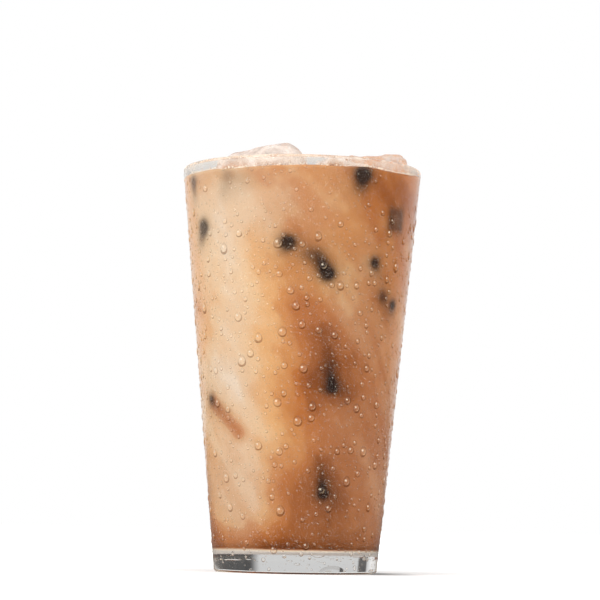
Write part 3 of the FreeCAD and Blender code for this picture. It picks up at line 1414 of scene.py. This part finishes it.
    def cut_pockets(self, piece: bpy.types.Object) -> None:
        """Cuts each floating block, drawn in a little, out of the drink.

        Args:
            piece: The drink.
        """
        blocks = Surface.joined([block.surface(-self.pocket_inset) for block in self.floats])
        whole = np.ones(len(blocks.vertices))
        blocks.values = self.values(blocks.vertices, whole, whole)
        cutter = blocks.piece("pockets", piece.data.materials[0])
        cut = piece.modifiers.new("pockets", "BOOLEAN")
        cut.operation, cut.solver, cut.object = "DIFFERENCE", "EXACT", cutter
        mesh = bpy.data.meshes.new_from_object(piece.evaluated_get(bpy.context.evaluated_depsgraph_get()))
        piece.modifiers.clear()
        piece.data = mesh
        piece.data.name = "chai"
        bpy.data.objects.remove(cutter)


@dataclass
class Froth:
    """Small bubbles where the drink meets the wall, thick in places and sparse in others.

    Each patch is where it lies, in degrees from the front, how far it spreads, how many bubbles it has, and
    their largest radius in millimetres. above_edge is in radii and piled in millimetres.
    """

    chai: Chai
    patches: tuple[tuple[float, float, int, float], ...] = (
        (76, 9, 110, 0.5),
        (40, 4, 12, 0.7),
        (52, 12, 40, 0.35),
        (8, 14, 50, 0.3),
        (-38, 16, 60, 0.35),
        (-80, 10, 50, 0.45),
        (180, 60, 130, 0.45),
    )
    smallest: float = 0.12
    above_edge: float = 0.4
    piled: float = 0.5
    wall_gap: float = 0.03 * MM
    seed: int = 77
    rings: int = 5
    columns: int = 8

    def bubbles(self) -> tuple[Array, Array, Array]:
        """Each bubble's degrees from the front, its radius and, from 0 to 1, how high in the pile it lies."""
        rng = np.random.default_rng(self.seed)
        rows = []
        for around, spread, count, largest in self.patches:
            places = rng.normal(around, spread, count)
            radii = rng.uniform(self.smallest, largest, count) * MM
            rows.append([places, radii, rng.uniform(0, 1, count) ** 2])
        around, radius, pile = np.concatenate(rows, axis=1)
        return around, radius, pile

    def build(self, material: bpy.types.Material) -> bpy.types.Object:
        """Makes every bubble a small ball that rests on the drink and against the wall.

        Args:
            material: The foam.

        Returns:
            The piece.
        """
        around, radius, pile = self.bubbles()
        height = self.chai.contact_height(around) + radius * self.above_edge + pile * self.piled * MM
        out = self.chai.tumbler.bowl_radius(height - radius) - radius - self.wall_gap
        tilt = np.linspace(0, math.pi, self.rings + 2)[1:-1, None]
        turn = round_angles(self.columns)
        ball = around_z(np.sin(tilt), turn, -np.cos(tilt) + 0 * turn).reshape(-1, 3)
        ball = np.concatenate([[[0, 0, -1]], ball, [[0, 0, 1]]])
        centre = around_z(out, np.radians(around), height)
        vertices = (centre[:, None] + ball * radius[:, None, None]).reshape(-1, 3)
        faces = repeated(len(radius), len(ball), *capped_rings(self.rings, self.columns))
        piece = Surface(vertices, *faces, {}).piece("froth", material)
        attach(piece, "root")
        return piece


# ------------------------------------------------------------------------------------------- the condensation


@dataclass(frozen=True)
class DropKind:
    """One size class of drops.

    count is how many there are at most, and smallest and largest their radii. rings and columns are how
    finely each is made. stretch is about how tall they are for their width, clearance how many times the sum
    of their radii they lie apart, and rim_loss the share of them that is missing near the rim.
    """

    name: str
    count: int
    smallest: float
    largest: float
    rings: int
    columns: int
    stretch: float
    clearance: float
    rim_loss: float


KINDS = [
    DropKind("drops_large", 330, 0.95 * MM, 1.8 * MM, 7, 22, 1.25, 1.2, 0.75),
    DropKind("drops_medium", 900, 0.55 * MM, 0.93 * MM, 5, 16, 1.18, 1.1, 0.75),
    DropKind("drops_small", 2400, 0.3 * MM, 0.54 * MM, 3, 10, 1.1, 1.05, 0.35),
    DropKind("mist_coarse", 3600, 0.18 * MM, 0.29 * MM, 2, 8, 1.0, 1.0, 0.35),
    DropKind("mist_fine", 4800, 0.11 * MM, 0.18 * MM, 1, 8, 1.0, 1.0, 0.35),
]


@dataclass
class Condensation:
    """Drops all over the outer wall: flat caps, the larger ones longer than they are wide and sagging.

    Heights are drawn as a power of a share of the glass's height, as the wall is wider higher up, and radii
    as a power of a share of their range, which makes small ones more frequent. The highest drops keep
    rim_gap from the rim, and the lowest foot_reach radii and foot_gap from the foot. On the clear base
    base_share of them stay. flat is how high drops are in radii, to which small ones add up to small_flat.
    """

    tumbler: Tumbler
    seed: int = 2024
    tries: int = 6
    height_shares: tuple[float, float] = (0.003, 0.99)
    height_power: float = 0.9
    radius_power: float = 1.6
    gap: float = 0.08 * MM
    foot_reach: float = 1.5
    foot_gap: float = 0.3 * MM
    lowest: float = 0.8 * MM
    rim_gap: float = 1.5 * MM
    base_height: float = 8.5 * MM
    base_share: float = 0.5
    thins_from: float = 112 * MM
    thins_until: float = 140 * MM
    sunk: float = 0.05 * MM
    sag: float = 0.16
    flat: tuple[float, float] = (0.11, 0.19)
    small_flat: float = 0.12
    largest_taper: float = 0.28
    largest_wave: float = 0.05

    def scatter(self, kinds: Sequence[DropKind]) -> dict[str, Array]:
        """Places every drop, the largest first, clear of those before it.

        Args:
            kinds: The kinds of drops, from the largest.

        Returns:
            For each kind, one row for each drop: angle from the front, height and radius.
        """
        rng = np.random.default_rng(self.seed)
        placed = np.zeros((0, 3))
        found: dict[str, Array] = {}
        for kind in kinds:
            rows: list[Array] = []
            tries = 0
            while len(rows) < kind.count and tries < kind.count * self.tries:
                tries += 1
                height = self.tumbler.height * rng.uniform(*self.height_shares) ** self.height_power
                if rng.uniform() > self.plenty(height, kind):
                    continue
                angle = rng.uniform(-math.pi, math.pi)
                radius = kind.smallest + (kind.largest - kind.smallest) * rng.uniform() ** self.radius_power
                height = max(height, self.foot_reach * radius + self.foot_gap)
                wall = float(self.tumbler.outer_radius(height))
                across = (np.abs(placed[:, 0] - angle) + math.pi) % (2 * math.pi) - math.pi
                apart = np.hypot(across * wall, placed[:, 1] - height)
                if (apart < (placed[:, 2] + radius) * kind.clearance + self.gap).any():
                    continue
                row = np.array([angle, height, radius])
                rows.append(row)
                placed = np.concatenate([placed, row[None]])
            found[kind.name] = np.array(rows)
        return found

    def plenty(self, height: float, kind: DropKind) -> float:
        """Share of drops that stay at a height: few on the clear base, fewer large ones near the rim."""
        if height < self.lowest or height > self.tumbler.height - self.rim_gap - kind.largest:
            return 0.0
        if height < self.base_height:
            return self.base_share
        return 1.0 - kind.rim_loss * float(smooth_step(np.array(height), self.thins_from, self.thins_until))

    def build(self, material: bpy.types.Material) -> list[bpy.types.Object]:
        """Makes a piece of each kind of drop."""
        made = []
        for number, (kind, rows) in enumerate(zip(KINDS, self.scatter(KINDS).values())):
            piece = self.caps(kind, rows, number).piece(kind.name, material)
            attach(piece, "root")
            made.append(piece)
        return made

    def caps(self, kind: DropKind, rows: Array, number: int) -> Surface:
        """The drops of one kind.

        In a drop's own measure, s from 0 at its top to 1 at its edge and t round it, the outline is at a
        radius of 1 plus small second and third waves of t, stretched upright and narrowed towards its top.
        The height is that of a ball's cap: the ball's depth at s less its depth at the edge. Its top is
        pulled down, as it sags. Under its edge the cap goes on into the glass and is closed there by a bed.

        Args:
            kind: The kind.
            rows: Angle, height and radius of each drop.
            number: The kind's number.

        Returns:
            All of them as one surface.
        """
        rng = np.random.default_rng(self.seed + 17 * number)
        drops = (len(rows), 1, 1)
        middle_angle, middle_height, radius = (column.reshape(drops) for column in rows.T)
        size = radius / KINDS[0].largest
        tall = 1 + (kind.stretch - 1) * rng.uniform(0, 1.6, drops)
        taper = rng.uniform(0, self.largest_taper, drops) * np.clip(size * 1.6, 0, 1)
        second, third = rng.uniform(0, self.largest_wave, (2, *drops))
        second_phase, third_phase = rng.uniform(0, 2 * math.pi, (2, *drops))
        flat = rng.uniform(*self.flat, drops) + self.small_flat * (1 - size)
        share = np.sin(np.linspace(0, math.pi / 2, kind.rings + 1))[:, None]
        turn = round_angles(kind.columns)
        outline = 1 + second * np.cos(2 * turn + second_phase) + third * np.cos(3 * turn + third_phase)
        ball = (1 + flat**2) / (2 * flat)
        rise = np.sqrt(ball**2 - share**2 + 0 * turn) - (ball - flat)
        up = share * np.cos(turn) * outline * tall - self.sag * size * rise
        side = share * np.sin(turn) * outline * (1 - taper * share * np.cos(turn))
        up, side = (np.concatenate([part, part[:, -1:], 0 * part[:, -1:]], axis=1) for part in (up, side))
        bed = np.zeros_like(up)
        bed[:, -2:] = 1.0
        lift = np.concatenate([rise * radius, -self.sunk * bed[:, -2:]], axis=1)
        height = middle_height + up * radius
        wall = self.tumbler.outer_radius(height)
        points = around_z(wall + lift, middle_angle + side * radius / wall, height)
        away_side, away_up = self.away_from_lamp(middle_angle)
        along, across = side * away_side + up * away_up, up * away_side - side * away_up

        def listed(part: Array) -> Array:
            """For each drop its top once, its rings, and the middle of its bed once."""
            rest = part.shape[3:]
            rings = part[:, 1:-1].reshape(len(rows), -1, *rest)
            return np.concatenate([part[:, :1, 0], rings, part[:, -1:, 0]], axis=1).reshape(-1, *rest)

        faces = capped_rings(kind.rings + 1, kind.columns)
        each = 2 + (kind.rings + 1) * kind.columns
        values = {"along": listed(along), "across": listed(across), "bed": listed(bed)}
        return Surface(listed(points), *repeated(len(rows), each, *faces), values)

    def away_from_lamp(self, angle: Array) -> tuple[Array, Array]:
        """The way along the wall that leads away from the lamp, by angle: its parts sideways and up."""
        side = -(LAMP_WAY[0] * np.cos(angle) + LAMP_WAY[1] * np.sin(angle))
        length = np.hypot(side, LAMP_WAY[2])
        return side / length, -LAMP_WAY[2] / length


# ------------------------------------------------------------------------------------------------- the studio


@dataclass
class Studio:
    """A white floor and surround, a key light from the left and the camera.

    pitch tips the camera up and roll turns it about its line of sight, in degrees. ambient is the light that
    diffuse surfaces get, and what begins with mirrored or through is the brightness of the surround where
    the glass mirrors it or shows it. It passes over to its high value between two parts of a direction
    upwards or, for behind, away from the eye. Each flag is a dark panel behind the drink: the angles, from
    straight behind towards the right, that it runs between, its depth and how many degrees it takes to end.
    painted_shadow is how dark the floor is painted right of the middle: a painted shadow of the object. That
    comes over the first two distances of painted_shadow_along, goes over the next two, and fades to both
    sides over painted_shadow_across. The floor glows from near to far by floor_glow.
    """

    distance: float = 0.92503
    eye_height: float = 0.02006
    pitch: float = 4.985
    roll: float = 1.035
    lens: float = 149.886
    sensor: float = 36.0
    lamp_distance: float = 1.1
    lamp_aim: float = 0.075
    key: float = 5.7
    key_size: float = 0.5
    fill: float = 4.5
    fill_size: float = 0.8
    fill_way: tuple[float, float, float] = (0.8, -0.55, 0.3)
    ambient: float = 0.85
    mirrored: float = 0.2
    mirrored_high: float = 0.85
    mirrored_rises: tuple[float, float] = (0.15, 0.6)
    mirrored_behind: tuple[float, float] = (0.1, 0.9)
    through: float = 0.62
    through_high: float = 0.95
    through_rises: tuple[float, float] = (0.16, 0.22)
    through_side: float = 0.36
    side_angles: tuple[float, float] = (-58.0, -48.0)
    through_least: float = 0.02
    flags: tuple[tuple[float, float, float, float], ...] = ((16.0, 96.0, 0.9, 7.0), (-50.0, -36.0, 0.88, 3.0))
    streaks: float = 0.7
    floor_size: float = 6.0
    floor_height: float = -0.02 * MM
    floor_grey: float = 0.9
    floor_glow: tuple[float, float] = (0.08, 0.98)
    glow_distances: tuple[float, float] = (30 * MM, 200 * MM)
    # painted shadow on the floor, right of the middle
    painted_shadow: float = 0.75
    painted_shadow_along: tuple[float, float, float, float] = (0.0, 22 * MM, 26 * MM, 50 * MM)
    painted_shadow_across: tuple[float, float] = (4 * MM, 30 * MM)

    def camera(self) -> None:
        """Puts the camera in front, low, and tipped up a little."""
        data = bpy.data.cameras.new("camera")
        data.lens, data.sensor_width = self.lens, self.sensor
        data.clip_start, data.clip_end = 0.05, 50.0
        thing = bpy.data.objects.new("camera", data)
        bpy.context.scene.collection.objects.link(thing)
        thing.location = (0, -self.distance, self.eye_height)
        upright = Euler((math.radians(90 + self.pitch), 0, 0)).to_matrix()
        thing.rotation_euler = (upright @ Euler((0, 0, math.radians(self.roll))).to_matrix()).to_euler()
        bpy.context.scene.camera = thing

    def lamp(self, name: str, way: Vector, size: float, watts: float, mirrored: bool) -> None:
        """A square soft box that shows, if at all, only where the glass mirrors it.

        Args:
            name: Its name.
            way: Which way it is from the drink.
            size: Its side.
            watts: Its power.
            mirrored: Whether the glass mirrors it.
        """
        aim = Vector((0, 0, self.lamp_aim))
        place = aim + way.normalized() * self.lamp_distance
        data = bpy.data.lights.new(name, "AREA")
        data.shape, data.size, data.energy = "SQUARE", size, watts
        thing = bpy.data.objects.new(name, data)
        thing.location = place
        thing.rotation_euler = (aim - place).to_track_quat("-Z", "Y").to_euler()
        thing.visible_camera = thing.visible_transmission = False
        thing.visible_glossy = mirrored
        bpy.context.scene.collection.objects.link(thing)

    def rays(self, shader: Shader) -> tuple[Term, Term, Term]:
        """Shares for rays that see the studio: camera rays, mirrored rays, and rays through glass.

        All are zero for rays that have left a diffuse surface, which carry light alone. A ray through fogged
        glass counts as mirrored too, which the share of mirrored rays leaves out.
        """
        path = shader.node("ShaderNodeLightPath")
        camera, mirrored, through, spread = (
            Term(shader, path.outputs[name])
            for name in ("Is Camera Ray", "Is Glossy Ray", "Is Transmission Ray", "Diffuse Depth")
        )
        unspread = 1.0 - spread.between(0.0, 0.5)
        return camera, mirrored * (1.0 - through) * unspread, through * unspread

    def through_glass(self, shader: Shader, way: Term) -> Term:
        """How bright the studio is through glass: pale grey, with dark flags behind to both sides.

        Args:
            shader: The shader to add it to.
            way: The direction, or the place on the floor.

        Returns:
            The brightness.
        """
        x, y, _ = shader.axes(way)
        angle = x.math("ARCTAN2", x, y) * (180 / math.pi)
        inputs = {"W": angle, "Scale": 0.22, "Detail": 3.0}
        streaks = shader.term("ShaderNodeTexNoise", {"noise_dimensions": "1D"}, inputs)
        dark = 0.0
        for low, high, depth, soft in self.flags:
            dark = angle.between(low, low + soft) * (1.0 - angle.between(high - soft, high)) * depth + dark
        side = 1.0 - angle.between(*self.side_angles)
        grey = self.through + (streaks - 0.5) * self.streaks * dark + side * self.through_side
        return grey * (1.0 - dark) + self.through_least

    def world(self) -> None:
        """White where it is seen or mirrored, grey through glass, and a soft light on everything else."""
        world = bpy.data.worlds.new("surround")
        bpy.context.scene.world = world
        shader = Shader(world)
        seen, mirrored, through = self.rays(shader)
        way = shader.term("ShaderNodeTexCoord", output="Generated")
        _, y, z = shader.axes(way)
        high = z.between(*self.mirrored_rises).larger(y.between(*self.mirrored_behind))
        strength = seen + mirrored * (self.mirrored + (self.mirrored_high - self.mirrored) * high)
        rising = z.between(*self.through_rises)
        shown = self.through_glass(shader, way) * (1.0 - rising) + self.through_high * rising
        strength = strength + through * shown + (1.0 - seen - mirrored - through) * self.ambient
        light = shader.term("ShaderNodeBackground", None, {"Color": (1, 1, 1, 1), "Strength": strength})
        shader.node("ShaderNodeOutputWorld", None, {"Surface": light})

    def floor(self) -> None:
        """A pale floor that shows white but for the object's real shadow and a painted shadow right of it."""
        made, shader = Shader.material("floor")
        seen, mirrored, through = self.rays(shader)
        place = shader.place()
        away = shader.term("ShaderNodeVectorMath", {"operation": "LENGTH"}, {0: place}, output="Value")
        x, y, _ = shader.axes(place)
        # painted shadow: lit is one less the dark painted on the floor right of the middle
        starts, full, fades, ends = self.painted_shadow_along
        beside = 1.0 - y.math("ABSOLUTE", y).between(*self.painted_shadow_across)
        lit = 1.0 - x.between(starts, full) * (1.0 - x.between(fades, ends)) * beside * self.painted_shadow
        near, far = self.floor_glow
        glow = seen * (near + away.between(*self.glow_distances) * (far - near)) * lit
        glow = glow + mirrored * self.mirrored + through * self.through_glass(shader, place)
        colour = shader.mixed(lit, (0, 0, 0, 1), (*[self.floor_grey] * 3, 1))
        pale = shader.term("ShaderNodeBsdfDiffuse", None, {"Color": colour})
        light = shader.term("ShaderNodeEmission", None, {"Color": (1, 1, 1, 1), "Strength": glow})
        both = shader.term("ShaderNodeAddShader", None, {0: pale, 1: light})
        shader.finish(shader.blended(mirrored + through, both, light))
        corners = np.array([[-1, -1, 0], [1, -1, 0], [1, 1, 0], [-1, 1, 0]]) * self.floor_size / 2
        corners[:, 2] = self.floor_height
        plane = Surface(corners, np.array([[0, 1, 2, 3]]), np.zeros((0, 3), dtype=np.int64), {})
        plane.piece("floor", made)

    def build(self) -> None:
        """Sets up the lot."""
        bpy.context.scene.view_settings.view_transform = "Standard"
        self.camera()
        self.world()
        self.floor()
        self.lamp("key", Vector(LAMP_WAY), self.key_size, self.key, True)
        self.lamp("fill", Vector(self.fill_way), self.fill_size, self.fill, False)


def main() -> None:
    """Builds the drink from the glass inwards, then what lies on it, and reports each piece."""
    logging.basicConfig(level=logging.INFO, format="%(message)s")
    _, glass_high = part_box("glass")
    drink_low, drink_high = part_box("drink")
    tumbler = Tumbler(glass_high[2], glass_high[0], drink_low[2])
    level = drink_high[2] - MENISCUS_RISE
    floats = [ice.block(tumbler, level, FIRST_ICE_SEED + number) for number, ice in enumerate(FLOATING)]
    sunk = SunkIce(tumbler, TOUCHES, level - SUNK_DEPTH)
    chai = Chai(tumbler, drink_low[2], level, drink_high[2], sunk, floats)
    glass, tea, ice, water = FoggedGlass().make(), MilkyChai().make(), WetIce(level).make(), Water().make()
    pieces = [tumbler.build(glass), chai.build(tea), sunk.build(ice)]
    for block, floating in zip(floats, FLOATING):
        piece = block.surface().piece(floating.node + "_block", ice)
        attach(piece, "root")
        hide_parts(floating.node)
        pieces.append(piece)
    pieces.append(Froth(chai).build(Foam().make()))
    pieces += Condensation(tumbler).build(water)
    for piece in pieces:
        log.info("%s: %d faces", piece.name, len(piece.data.polygons))
    Studio().build()


if __name__ == "__main__":
    main()
